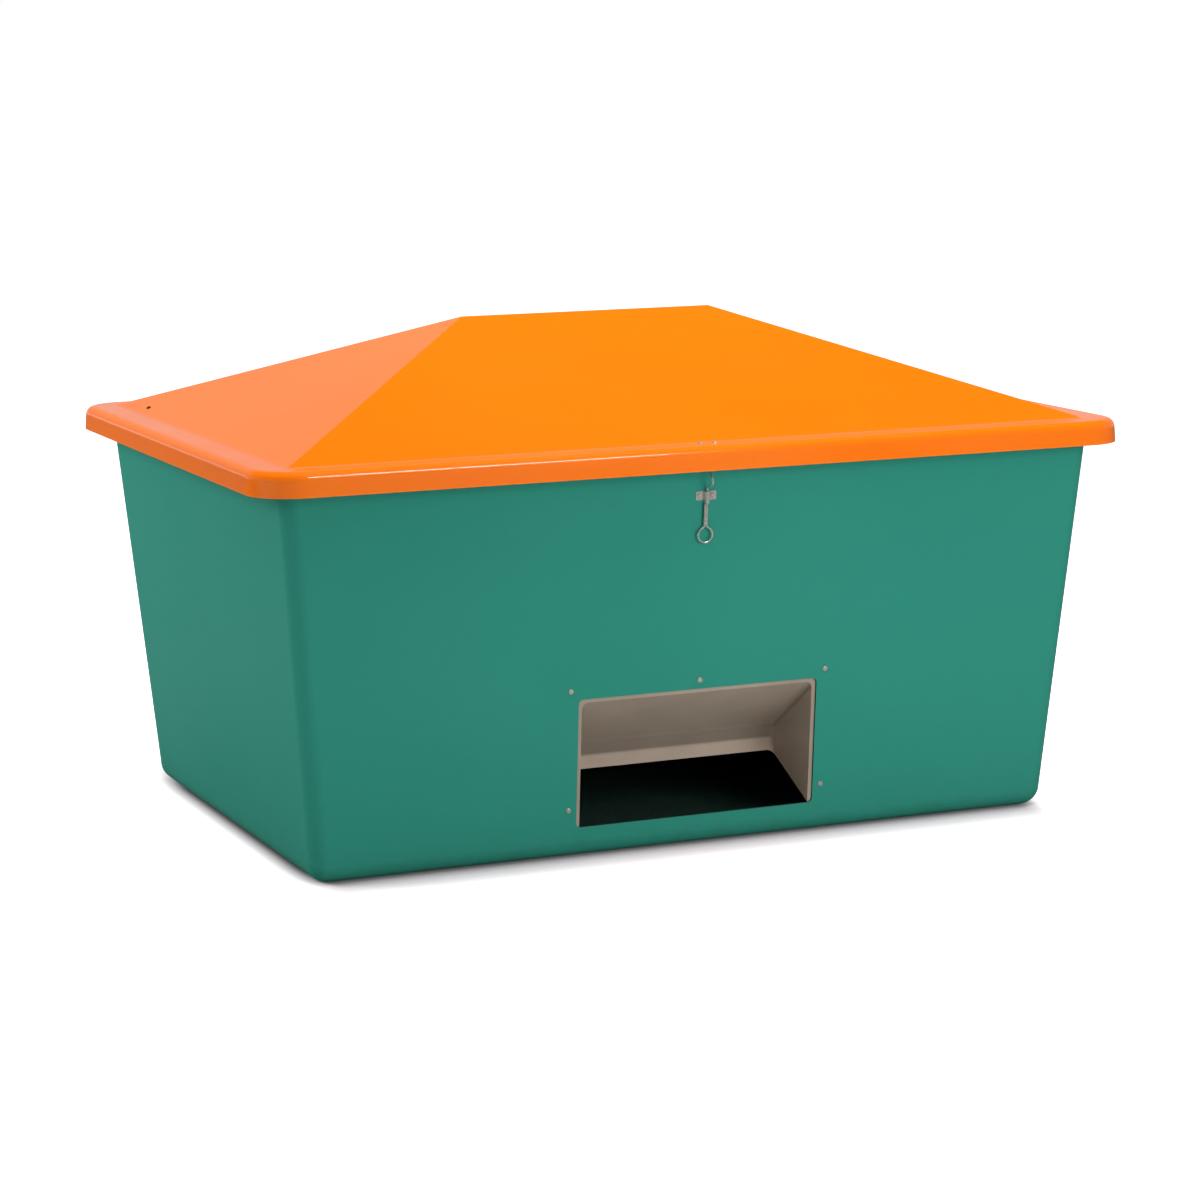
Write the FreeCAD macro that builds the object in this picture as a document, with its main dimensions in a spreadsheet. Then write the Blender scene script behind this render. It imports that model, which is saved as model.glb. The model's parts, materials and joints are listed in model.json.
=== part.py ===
import FreeCAD, Part
import math
import os
import types

import Sketcher

# Grit salt bin: a tapered tub with a hipped lid on two rear hinges, a chute in the
# front wall, a turning wire latch and two slotted lid stays.
# The origin is the centre of the tub's underside, X runs along the bin, -Y is the
# front and +Z is up. Lengths are in millimetres and angles in degrees.

Vector = FreeCAD.Vector
Rotation = FreeCAD.Rotation
Placement = FreeCAD.Placement

doc = FreeCAD.newDocument("grit_salt_bin")
sheet = doc.addObject("Spreadsheet::Sheet", "Sizes")

# Driving dimensions: name, value and what it measures.
driving_dimensions = (
    ("lid_length", 2130, "outside of the lid's rim, along the bin"),
    ("lid_width", 1493, "outside of the lid's rim, front to back"),
    ("lid_bottom", 882.5, "height of the lid's lower edge above the ground"),
    ("lid_rim_height", 55, "lower edge to the flat ledge around the roof"),
    ("lid_rim_lean", 3, "inward lean of the rim's outside"),
    ("lid_wall", 4, "wall of the lid"),
    ("lid_corner_radius", 105, "rim corner, seen from above"),
    ("lid_rim_radius", 20, "rounding between the rim and the ledge"),
    ("ledge_width", 77, "rim to the foot of the roof, front and rear"),
    ("end_ledge_width", 86, "rim to the foot of the roof, at the ends"),
    ("roof_rise", 242.5, "ledge to ridge"),
    ("ridge_length", 640, "length of the ridge"),
    ("ridge_radius", 8, "rounding of the ridge and hips"),
    ("roof_foot_radius", 40, "hollow rounding where the roof meets the ledge"),
    ("rim_overhang", 66.3, "lid's rim beyond the tub's top edge"),
    ("end_lean", 4.9, "outward lean of the end walls"),
    ("front_lean", 4.67, "outward lean of the front and rear walls"),
    ("tub_wall", 5, "wall of the tub"),
    ("tub_corner_radius", 38, "upright corners of the tub"),
    ("tub_foot_radius", 45, "rounding between the walls and the floor"),
    ("flange_width", 25, "outward flange along the tub's top edge"),
    ("flange_thickness", 6, "thickness of that flange"),
    ("flange_corner_radius", 70, "corner of that flange"),
    ("lid_seat_gap", 0.3, "lid's ledge over the flange"),
    ("latch_notch_margin", 6, "notch in the flange beyond the lid's catch"),
    ("latch_notch_depth", 9, "how deep that notch goes"),
    ("chute_length", 595, "opening in the front wall, along the bin"),
    ("chute_height", 300, "height of that opening along the wall"),
    ("chute_sill", 71, "ground line to the opening's lower edge, along the wall"),
    ("chute_corner_radius", 12, "corners of the opening"),
    ("hood_lap", 9.5, "hood flange that shows inside the opening, at the sides"),
    ("hood_top_lap", 9.5, "hood flange that shows inside the opening, at the top"),
    ("hood_wall", 3, "wall of the hood"),
    ("hood_flange_width", 60, "flange of the hood beside and above its throat"),
    ("hood_flange_foot", 10, "how far the flange runs on below the sill"),
    ("hood_roof_depth", 181, "inner wall face back to the crease in the hood's roof"),
    ("hood_roof_drop", 149, "throat top down to that crease"),
    ("hood_baffle_depth", 192.5, "inner wall face back to the foot of the baffle"),
    ("hood_baffle_height", 38, "height of the baffle under the crease"),
    ("hood_lip_height", 27, "turned lip under the baffle"),
    ("hood_lip_return", 12, "how far the lip comes forward again"),
    ("hood_edge_radius", 14, "inside rounding of the hood"),
    ("hood_draft", 2, "inward slant of the hood's sides towards its back"),
    ("hood_rivet_margin", 20, "side rivets beside the opening"),
    ("hood_rivet_rise", 20.5, "upper rivets above the opening"),
    ("hood_rivet_foot", 42.5, "lower rivets above the sill"),
    ("rivet_shank", 4.8, "rivet shank"),
    ("rivet_head", 13, "rivet head across"),
    ("rivet_head_height", 3, "rivet head, base to crown"),
    ("rivet_tail", 8, "rivet tail across"),
    ("rivet_tail_height", 2.5, "rivet tail"),
    ("rivet_washer", 16, "backing washer across"),
    ("rivet_washer_thickness", 1.2, "backing washer"),
    ("hinge_spacing", 1300, "between the middles of the two hinges"),
    ("hinge_width", 90, "length of a hinge along its pin"),
    ("hinge_sheet", 3, "sheet of the hinge leaves"),
    ("hinge_axis_offset", 8, "pin axis behind the lid's rim"),
    ("hinge_axis_drop", 4.5, "pin axis below the lid's lower edge"),
    ("hinge_pin", 8, "pin across"),
    ("running_clearance", 0.05, "radial clearance of every turning fit"),
    ("knuckle_gap", 0.4, "end gap between the knuckles"),
    ("pin_head", 13, "hinge pin head across"),
    ("pin_head_height", 3, "hinge pin head"),
    ("lid_leaf_height", 38, "pin axis to the lid leaf's upper edge"),
    ("lid_leaf_rivet_spacing", 30, "rivets of the lid leaf, along the bin"),
    ("body_leaf_height", 74, "leg of the body leaf on the rear wall"),
    ("leaf_bolt_spacing", 56, "bolts of the body leaf, along the bin"),
    ("leaf_bolt_pitch", 34, "bolts of the body leaf, up the wall"),
    ("leaf_bolt_edge", 16, "lower bolts above the leg's lower edge"),
    ("bolt_shank", 6, "bolt shank"),
    ("bolt_head", 14, "domed bolt head across"),
    ("bolt_head_height", 4, "domed bolt head"),
    ("bolt_washer", 22, "load washer across"),
    ("bolt_washer_thickness", 1.6, "load washer"),
    ("nut_width", 10, "nut across its flats"),
    ("nut_height", 6, "cap nut without its dome"),
    ("nut_dome", 4, "dome of the cap nut"),
    ("nut_dome_edge", 2, "steep lower part of that dome"),
    ("bolt_end_gap", 0.6, "bolt's end short of the nut's thread"),
    ("latch_plate_length", 50, "latch bracket along the bin"),
    ("latch_plate_height", 20, "latch bracket up the wall"),
    ("latch_sheet", 2, "sheet of the latch bracket and the keeper"),
    ("latch_middle", 820.5, "ground line to the bracket's middle, along the wall"),
    ("latch_rivet_spacing", 33, "between the bracket's rivets"),
    ("latch_rivet_head", 11.5, "bracket rivet head across"),
    ("latch_rivet_head_height", 2.5, "bracket rivet head"),
    ("latch_rivet_shank", 4, "bracket rivet shank"),
    ("latch_sleeve_height", 26, "sleeve that the wire turns in"),
    ("latch_sleeve_width", 12, "sleeve across"),
    ("latch_sleeve_drop", 3, "sleeve's middle below the bracket's middle"),
    ("latch_wire", 4.5, "wire across"),
    ("latch_axis_height", 8.5, "wire's turning axis off the wall"),
    ("latch_ring_radius", 17.5, "ring, to the middle of its wire"),
    ("latch_ring_drop", 73, "sleeve down to the ring's middle, along the wall"),
    ("latch_ring_shoulder", 8, "bend between the ring and the two wires"),
    ("latch_wire_gap", 0.15, "between the two wires above the ring"),
    ("latch_bow_start", 10, "sleeve up to the first bend of the wire's bow"),
    ("latch_bow_rise", 12, "first bend up to the bow's outer bend"),
    ("latch_bow_reach", 27, "outer bend off the wire's axis"),
    ("latch_bow_height", 27, "first bend up to the bow's third bend"),
    ("latch_bow_shoulder", 23, "third bend off the wire's axis"),
    ("latch_bend", 5, "least bend of the wire"),
    ("latch_nose", 34, "nose of the wire, off its axis"),
    ("latch_nose_level", 903, "ground line to the nose, along the wall"),
    ("latch_neck", 10, "straight run of the wire under its nose"),
    ("keeper_tab_reach", 27, "keeper tab left of the wire's axis"),
    ("keeper_leg_start", 5, "keeper leg beside the wire's axis"),
    ("keeper_slot_play", 2, "keeper's slot beyond the wire's nose"),
    ("keeper_bridge", 6, "keeper leg beside its slot"),
    ("keeper_leg_drop", 47, "ledge down to the keeper's lower edge"),
    ("keeper_reach", 11.8, "tub's top edge forward to the keeper's leg"),
    ("keeper_slot", 8.5, "height of the keeper's slot"),
    ("keeper_rivet_spacing", 36, "between the keeper's rivets"),
    ("keeper_rivet_offset", 3, "middle of the keeper's rivets left of the wire's axis"),
    ("keeper_rivet_inset", 62.5, "keeper's rivets behind the lid's front rim"),
    ("stay_rear_inset", 268.5, "plane of the stays' pivots ahead of the lid's rear rim"),
    ("stay_inset", 128.5, "middle of the arm inside the lid's end rim"),
    ("stay_rise", 40, "lid pivot above and guide pin below the hinge axis"),
    ("stay_width", 24, "arm across"),
    ("stay_thickness", 4, "sheet of the arm"),
    ("stay_side_gap", 0.3, "arm to the bracket and the pin heads beside it"),
    ("stay_pin", 8, "pivot and guide pins across"),
    ("stay_pin_head", 16, "head of those pins"),
    ("stay_pin_head_height", 3, "head of those pins"),
    ("stay_opening_angle", 95, "the slot's end stops the lid there"),
    ("stay_slot_play", 2, "slot beyond the guide pin at both ends of the travel"),
    ("stay_end", 12, "arm beyond its pivot and beyond its slot"),
    ("stay_bracket_sheet", 3, "sheet of the stays' brackets"),
    ("stay_bracket_width", 44, "those brackets, front to back"),
    ("stay_lid_leg", 13, "lid bracket below its pivot"),
    ("stay_lid_flange", 22, "lid bracket's flange along the roof"),
    ("stay_bolt_place", 12.1, "roof bolt outward from the lid bracket's leg"),
    ("stay_bolt_head", 11, "roof bolt head across"),
    ("stay_bolt_head_height", 3.5, "roof bolt head"),
    ("stay_shelf_rise", 30, "guide bracket's shelf above its pin"),
    ("stay_lip_drop", 16, "guide bracket's lip below its pin"),
    ("stay_base_height", 70, "guide bracket's foot on the wall"),
    ("cut_margin", 1, "how far a cutting block runs past the piece"),
)


class Size:
    """A size that keeps its value and the sheet formula it comes from."""

    def __init__(self, value, formula=None):
        self.value = float(value)
        self.formula = formula or repr(self.value)

    def __add__(self, other):
        other = as_size(other)
        return Size(self.value + other.value, f"({self.formula} + {other.formula})")

    def __sub__(self, other):
        other = as_size(other)
        return Size(self.value - other.value, f"({self.formula} - {other.formula})")

    def __mul__(self, other):
        other = as_size(other)
        return Size(self.value * other.value, f"({self.formula} * {other.formula})")

    def __truediv__(self, other):
        other = as_size(other)
        return Size(self.value / other.value, f"({self.formula} / {other.formula})")

    def __neg__(self):
        return Size(-self.value, f"(0 - {self.formula})")

    def __radd__(self, other):
        return as_size(other) + self

    def __rsub__(self, other):
        return as_size(other) - self

    def __rmul__(self, other):
        return as_size(other) * self


def as_size(number):
    return number if isinstance(number, Size) else Size(number)


def cosine(angle):
    return Size(math.cos(math.radians(angle.value)), f"cos({angle.formula})")


def sine(angle):
    return Size(math.sin(math.radians(angle.value)), f"sin({angle.formula})")


def tangent(angle):
    return Size(math.tan(math.radians(angle.value)), f"tan({angle.formula})")


def slope_angle(slope):
    return Size(math.degrees(math.atan(slope.value)), f"atan({slope.formula})")


def root(number):
    return Size(math.sqrt(number.value), f"sqrt({number.formula})")


def fill_sheet():
    sizes = {}
    for row, (alias, value, meaning) in enumerate(driving_dimensions, start=1):
        cell = f"A{row}"
        sheet.set(cell, str(value))
        sheet.setAlias(cell, alias)
        sizes[alias] = Size(value, f"Sizes.{alias}")
    doc.recompute()
    return types.SimpleNamespace(**sizes)


d = fill_sheet()
zero = Size(0)
sides = (("left", -1), ("right", 1))


# Helpers that bind features to the sheet

def bind(item, **properties):
    for name, value in properties.items():
        value = as_size(value)
        setattr(item, name, value.value)
        item.setExpression(name, value.formula)


def bind_placement(item, name, base=(0, 0, 0), axis=(1, 0, 0), angle=None):
    base = [as_size(value) for value in base]
    turn = Rotation(Vector(*axis), angle.value) if angle else Rotation()
    setattr(item, name, Placement(Vector(*[value.value for value in base]), turn))
    for letter, value in zip("xyz", base):
        item.setExpression(f"{name}.Base.{letter}", value.formula)
    if angle:
        item.setExpression(f"{name}.Rotation.Angle", angle.formula)


def new_body(label, base=(0, 0, 0), angle=None):
    body = doc.addObject("PartDesign::Body", label)
    bind_placement(body, "Placement", base, (1, 0, 0), angle)
    return body


def origin_plane(body, role):
    return next(item for item in body.Origin.OriginFeatures if item.Role == role)


def attach(feature, body, role="XY_Plane", base=(0, 0, 0), axis=(1, 0, 0), angle=None):
    feature.AttachmentSupport = (origin_plane(body, role), [""])
    feature.MapMode = "FlatFace"
    bind_placement(feature, "AttachmentOffset", base, axis, angle)


def outline_sketch(body, name, corners, role="XY_Plane", base=(0, 0, 0), angle=None):
    """A closed outline of straight lines, with every corner held to the sheet."""
    sketch = body.newObject("Sketcher::SketchObject", name)
    attach(sketch, body, role, base, (1, 0, 0), angle)
    corners = [(as_size(x), as_size(y)) for x, y in corners]
    points = [Vector(x.value, y.value, 0) for x, y in corners]
    for start, end in zip(points, points[1:] + points[:1]):
        sketch.addGeometry(Part.LineSegment(start, end), False)
    last = len(points) - 1
    for index in range(len(points)):
        following = 0 if index == last else index + 1
        sketch.addConstraint(Sketcher.Constraint("Coincident", index, 2, following, 1))
    for index, corner in enumerate(corners):
        for kind, value in zip(("DistanceX", "DistanceY"), corner):
            held = sketch.addConstraint(Sketcher.Constraint(kind, -1, 1, index, 1, value.value))
            sketch.setExpression(f"Constraints[{held}]", value.formula)
    return sketch


def circle_sketch(body, name, centres, radius, base=(0, 0, 0), angle=None):
    """Equal circles at the given centres."""
    sketch = body.newObject("Sketcher::SketchObject", name)
    attach(sketch, body, "XY_Plane", base, (1, 0, 0), angle)
    for index, centre in enumerate(centres):
        centre = [as_size(value) for value in centre]
        middle = Vector(centre[0].value, centre[1].value, 0)
        sketch.addGeometry(Part.Circle(middle, Vector(0, 0, 1), radius.value), False)
        held = sketch.addConstraint(Sketcher.Constraint("Radius", index, radius.value))
        sketch.setExpression(f"Constraints[{held}]", radius.formula)
        for kind, value in zip(("DistanceX", "DistanceY"), centre):
            held = sketch.addConstraint(Sketcher.Constraint(kind, -1, 1, index, 3, value.value))
            sketch.setExpression(f"Constraints[{held}]", value.formula)
    return sketch


def rectangle(half_length, half_width):
    return ((-half_length, -half_width), (half_length, -half_width),
            (half_length, half_width), (-half_length, half_width))


def pad(body, sketch, length, symmetric=False, backwards=False):
    feature = body.newObject("PartDesign::Pad", f"{sketch.Name}_pad")
    feature.Profile = sketch
    feature.SideType = "Symmetric" if symmetric else "One side"
    feature.Reversed = backwards
    bind(feature, Length=length)
    doc.recompute()


def solid_volume(body):
    return 0 if body.Shape.isNull() else body.Shape.Volume


def finish_feature(body, feature, before, cuts):
    """Recompute, and see that a cut removes material and an addition adds some."""
    doc.recompute()
    change = solid_volume(body) - before
    if change >= 0 if cuts else change <= 0:
        raise RuntimeError(f"{feature.Name} changes nothing")


def pocket(body, sketch, length):
    before = solid_volume(body)
    feature = body.newObject("PartDesign::Pocket", f"{sketch.Name}_pocket")
    feature.Profile = sketch
    feature.SideType = "One side"
    bind(feature, Length=length)
    finish_feature(body, feature, before, True)


def turned(body, name, outline):
    """A turned piece around Z, from an outline of (radius, height) corners."""
    sketch = outline_sketch(body, f"{name}_outline", outline, "XZ_Plane")
    feature = body.newObject("PartDesign::Revolution", name)
    feature.Profile = sketch
    feature.ReferenceAxis = (sketch, ["V_Axis"])
    feature.Angle = 360
    doc.recompute()


def wedge(body, name, low, high, low_half, high_half):
    """A block with sloping sides; the halves are (length, width) at its two levels."""
    feature = body.newObject("PartDesign::AdditiveWedge", name)
    attach(feature, body, angle=Size(90))
    bind(feature, Ymin=low, Ymax=high, Xmin=-low_half[0], Xmax=low_half[0],
         Zmin=-low_half[1], Zmax=low_half[1], X2min=-high_half[0], X2max=high_half[0],
         Z2min=-high_half[1], Z2max=high_half[1])
    doc.recompute()


def block(body, kind, name, low, high):
    """A box between two opposite corners."""
    before = solid_volume(body)
    feature = body.newObject(f"PartDesign::{kind}Box", name)
    attach(feature, body, base=low)
    spans = [as_size(end) - as_size(start) for start, end in zip(low, high)]
    bind(feature, Length=spans[0], Width=spans[1], Height=spans[2])
    finish_feature(body, feature, before, kind == "Subtractive")


def round_bar(body, kind, name, radius, length, base, axis=(1, 0, 0), angle=None):
    """A cylinder from its base point, along Z turned by the angle about the axis."""
    before = solid_volume(body)
    feature = body.newObject(f"PartDesign::{kind}Cylinder", name)
    attach(feature, body, base=base, axis=axis, angle=angle)
    bind(feature, Radius=radius, Height=length)
    finish_feature(body, feature, before, kind == "Subtractive")


def fillet(body, name, radius, wanted):
    """Round the edges whose middle point and span pass the test."""
    base = body.Tip
    names = []
    for number, edge in enumerate(base.Shape.Edges, start=1):
        middle = edge.valueAt((edge.FirstParameter + edge.LastParameter) / 2)
        if wanted(middle, edge.BoundBox):
            names.append(f"Edge{number}")
    if not names:
        raise RuntimeError(f"{name} finds no edge")
    feature = body.newObject("PartDesign::Fillet", name)
    feature.Base = (base, names)
    bind(feature, Radius=radius)
    doc.recompute()


def hollow(body, name, core):
    """Cut a finished core body out of another body."""
    feature = body.newObject("PartDesign::Boolean", name)
    feature.Type = "Cut"
    feature.setObjects([core])
    doc.recompute()


def close_to(value, target, margin=0.6):
    return abs(value - as_size(target).value) < margin


def copies(label, master, places):
    """One node made of separate copies of a piece."""
    group = doc.addObject("Part::Feature", label)
    shape = master.Shape.copy()
    shape.Placement = Placement()
    solids = []
    for place in places:
        solid = shape.copy()
        solid.Placement = place
        solids.append(solid)
    group.Shape = Part.makeCompound(solids)
    return group


def place_of(base, *turns):
    """A place from its point and turns given as (axis, angle), the last one first."""
    turn = Rotation()
    for axis, angle in turns:
        turn = turn.multiply(Rotation(Vector(*axis), as_size(angle).value))
    return Placement(Vector(*[as_size(value).value for value in base]), turn)


# Shared lines of the tub and the lid

ledge_level = d.lid_bottom + d.lid_rim_height
ledge_underside = ledge_level - d.lid_wall
tub_height = ledge_underside - d.lid_seat_gap
half_lid = (d.lid_length / 2, d.lid_width / 2)
half_roof = (half_lid[0] - d.end_ledge_width, half_lid[1] - d.ledge_width)
tub_foot = (half_lid[0] - d.rim_overhang - tub_height * tangent(d.end_lean),
            half_lid[1] - d.rim_overhang - tub_height * tangent(d.front_lean))
front_turn = 90 + d.front_lean
front_foot = (zero, -tub_foot[1], zero)


def tub_half_length(level):
    return tub_foot[0] + level * tangent(d.end_lean)


def tub_half_width(level):
    return tub_foot[1] + level * tangent(d.front_lean)


def tub_outside(level):
    return tub_half_length(level), tub_half_width(level)


def tub_inside(level):
    return (tub_half_length(level) - d.tub_wall / cosine(d.end_lean),
            tub_half_width(level) - d.tub_wall / cosine(d.front_lean))


def wall_point(along, up, out):
    """A point of the front wall's own frame, in the part's frame."""
    return (as_size(along),
            -(tub_foot[1] + up * sine(d.front_lean) + out * cosine(d.front_lean)),
            up * cosine(d.front_lean) - out * sine(d.front_lean))


def front_place(along, up, out=0):
    return place_of(wall_point(along, up, as_size(out)), ((1, 0, 0), front_turn))


def rear_place(along, up, out=0):
    x, y, z = wall_point(along, up, as_size(out))
    return place_of((x, -y, z), ((0, 0, 1), 180), ((1, 0, 0), front_turn))


# Fastener places

hood_rivet_line = d.chute_sill + d.chute_height + d.hood_rivet_rise
hood_rivets = [(zero, hood_rivet_line)]
for side in (-1, 1):
    across = side * (d.chute_length / 2 + d.hood_rivet_margin)
    hood_rivets.append((across, hood_rivet_line))
    hood_rivets.append((across, d.chute_sill + d.hood_rivet_foot))
latch_rivets = [(side * d.latch_rivet_spacing / 2, d.latch_middle) for side in (-1, 1)]
sleeve_foot = d.latch_middle - d.latch_sleeve_drop - d.latch_sleeve_height / 2
keeper_rivets = [side * d.keeper_rivet_spacing / 2 - d.keeper_rivet_offset for side in (-1, 1)]
keeper_slot_end = d.latch_nose + d.keeper_slot_play
keeper_leg_end = keeper_slot_end + d.keeper_bridge

hinge_y = half_lid[1] + d.hinge_axis_offset
hinge_z = d.lid_bottom - d.hinge_axis_drop
knuckle_radius = d.hinge_pin / 2 + d.running_clearance + d.hinge_sheet
leg_foot = (hinge_z - knuckle_radius - d.body_leaf_height) / cosine(d.front_lean)
leaf_bolts = []
for _, side in sides:
    for across in (-1, 1):
        for row in (0, 1):
            along = side * d.hinge_spacing / 2 + across * d.leaf_bolt_spacing / 2
            leaf_bolts.append((along, leg_foot + d.leaf_bolt_edge + row * d.leaf_bolt_pitch))


def drill(body, name, spots, radius, depth, base=(0, 0, 0), angle=None):
    """Round holes into a face that lies in the sketch's plane."""
    pocket(body, circle_sketch(body, name, spots, radius, base, angle), depth)


# Tub

above_tub = tub_height + d.cut_margin


def make_tub_core():
    core = new_body("tub_core")
    wedge(core, "tub_cavity", d.tub_wall, above_tub,
          tub_inside(d.tub_wall), tub_inside(above_tub))
    fillet(core, "cavity_uprights", d.tub_corner_radius - d.tub_wall,
           lambda middle, box: box.ZLength > tub_height.value / 2)
    fillet(core, "cavity_foot", d.tub_foot_radius - d.tub_wall,
           lambda middle, box: close_to(box.ZMax, d.tub_wall, 0.01))
    return core


def make_container():
    body = new_body("container")
    wedge(body, "tub_block", zero, tub_height,
          tub_outside(zero), tub_outside(tub_height))
    fillet(body, "tub_uprights", d.tub_corner_radius,
           lambda middle, box: box.ZLength > tub_height.value / 2)
    fillet(body, "tub_foot", d.tub_foot_radius, lambda middle, box: box.ZMax < 0.01)
    half_length, half_width = tub_outside(tub_height)
    rim = outline_sketch(body, "flange_outline",
                         rectangle(half_length + d.flange_width, half_width + d.flange_width),
                         base=(0, 0, tub_height))
    pad(body, rim, d.flange_thickness, backwards=True)
    fillet(body, "flange_corners", d.flange_corner_radius,
           lambda middle, box: close_to(box.ZLength, d.flange_thickness)
           and close_to(abs(middle.x), half_length + d.flange_width))
    hollow(body, "tub_hollow", make_tub_core())
    chute = outline_sketch(body, "chute_outline",
                           ((-d.chute_length / 2, d.chute_sill),
                            (d.chute_length / 2, d.chute_sill),
                            (d.chute_length / 2, d.chute_sill + d.chute_height),
                            (-d.chute_length / 2, d.chute_sill + d.chute_height)),
                           base=front_foot, angle=front_turn)
    pocket(body, chute, 3 * d.tub_wall)
    corner_levels = [d.chute_sill, d.chute_sill + d.chute_height]
    corner_heights = [(up * cosine(d.front_lean)).value for up in corner_levels]
    fillet(body, "chute_corners", d.chute_corner_radius,
           lambda middle, box: close_to(abs(middle.x), d.chute_length / 2, 0.01)
           and close_to(box.YLength, d.tub_wall)
           and any(close_to(middle.z, height) for height in corner_heights))
    wall_depth = 3 * d.tub_wall
    drill(body, "hood_rivet_holes", hood_rivets, d.rivet_shank / 2, wall_depth,
          front_foot, front_turn)
    drill(body, "latch_rivet_holes", latch_rivets, d.latch_rivet_shank / 2, wall_depth,
          front_foot, front_turn)
    rear_spots = [(along, -up) for along, up in leaf_bolts]
    drill(body, "hinge_bolt_holes", rear_spots, d.bolt_shank / 2, wall_depth,
          (0, tub_foot[1], 0), -front_turn)
    notch = keeper_leg_end + d.latch_notch_margin
    block(body, "Subtractive", "latch_notch",
          (-notch, -(half_width + 2 * d.flange_width), tub_height - d.latch_notch_depth),
          (notch, -(half_width - 3 * d.tub_wall), above_tub))
    return body


# Lid

rim_lean_run = tangent(d.lid_rim_lean)
roof_run = half_roof[0] - d.ridge_length / 2
roof_slope = d.roof_rise / roof_run
roof_stretch = root(1 + roof_slope * roof_slope)
roof_angle = slope_angle(roof_slope)
front_slope = d.roof_rise / half_roof[1]
front_stretch = root(1 + front_slope * front_slope)


def rim_half(level, inset):
    back = (level - d.lid_bottom) * rim_lean_run + inset / cosine(d.lid_rim_lean)
    return half_lid[0] - back, half_lid[1] - back


def roof_top(x):
    """Height of the end slope's outside over a place along the bin."""
    return ledge_level + (half_roof[0] - x) * roof_slope


def roof_under(x):
    return roof_top(x) - d.lid_wall * roof_stretch


def roof_cavity_half(level):
    """Half length and half width of the hollow under the roof at a level."""
    rise = level - ledge_level
    return (half_roof[0] - rise / roof_slope - d.lid_wall * roof_stretch / roof_slope,
            half_roof[1] - rise / front_slope - d.lid_wall * front_stretch / front_slope)


keeper_rivet_y = -(half_lid[1] - d.keeper_rivet_inset)
skirt_stand = (d.hinge_axis_offset * cosine(d.lid_rim_lean)
               - d.hinge_axis_drop * sine(d.lid_rim_lean))
leaf_start = knuckle_radius + d.knuckle_gap
lid_rivet_up = (leaf_start + d.lid_leaf_height) / 2
lid_turn = 90 + d.lid_rim_lean
lid_rivet_spots = []
for _, side in sides:
    for step in (-1, 0, 1):
        lid_rivet_spots.append(side * d.hinge_spacing / 2 + step * d.lid_leaf_rivet_spacing)


def skirt_point(along, up, inward):
    """A point of the hinge's frame on the lid, turned with the rim's lean."""
    return (as_size(along),
            hinge_y - up * sine(d.lid_rim_lean) - inward * cosine(d.lid_rim_lean),
            hinge_z + up * cosine(d.lid_rim_lean) - inward * sine(d.lid_rim_lean))


stay_x = half_lid[0] - d.stay_inset
stay_y = half_lid[1] - d.stay_rear_inset
bracket_face = stay_x + d.stay_thickness / 2 + d.stay_side_gap
bracket_back = bracket_face + d.stay_bracket_sheet
roof_bolt_x = bracket_back + d.stay_bolt_place / roof_stretch


def roof_bolt_point(side, depth):
    """A point of the roof bolt's axis, at a depth under the roof's outside."""
    return (side * (roof_bolt_x - depth * roof_slope / roof_stretch), stay_y,
            roof_top(roof_bolt_x) - depth / roof_stretch)


def roof_bolt_place(side, depth):
    return place_of(roof_bolt_point(side, depth), ((0, 1, 0), side * roof_angle))


def drill_roof_bolt(body, name, side, start, end):
    round_bar(body, "Subtractive", name, d.bolt_shank / 2, start + end,
              roof_bolt_point(side, end), (0, 1, 0), side * roof_angle)


def make_lid_core():
    core = new_body("lid_core")
    below = d.lid_bottom - d.cut_margin
    peak = ledge_level + d.roof_rise - d.lid_wall * front_stretch
    wedge(core, "rim_cavity", below, ledge_underside,
          rim_half(below, d.lid_wall), rim_half(ledge_underside, d.lid_wall))
    wedge(core, "roof_cavity", ledge_underside, peak,
          roof_cavity_half(ledge_underside), (roof_cavity_half(peak)[0], zero))
    inner = [half.value + 1 for half in roof_cavity_half(ledge_underside)]
    fillet(core, "rim_cavity_corners", d.lid_corner_radius - d.lid_wall,
           lambda middle, box: close_to(box.ZMax, ledge_underside) and close_to(box.ZMin, below))
    fillet(core, "rim_cavity_edge", d.lid_rim_radius - d.lid_wall,
           lambda middle, box: close_to(box.ZMin, ledge_underside, 0.01) and box.ZLength < 0.1
           and (abs(middle.x) > inner[0] or abs(middle.y) > inner[1]))
    fillet(core, "roof_cavity_foot", d.roof_foot_radius + d.lid_wall,
           lambda middle, box: close_to(box.ZMin, ledge_underside, 0.01) and box.ZLength < 1
           and abs(middle.x) < inner[0] and abs(middle.y) < inner[1])
    return core


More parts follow.
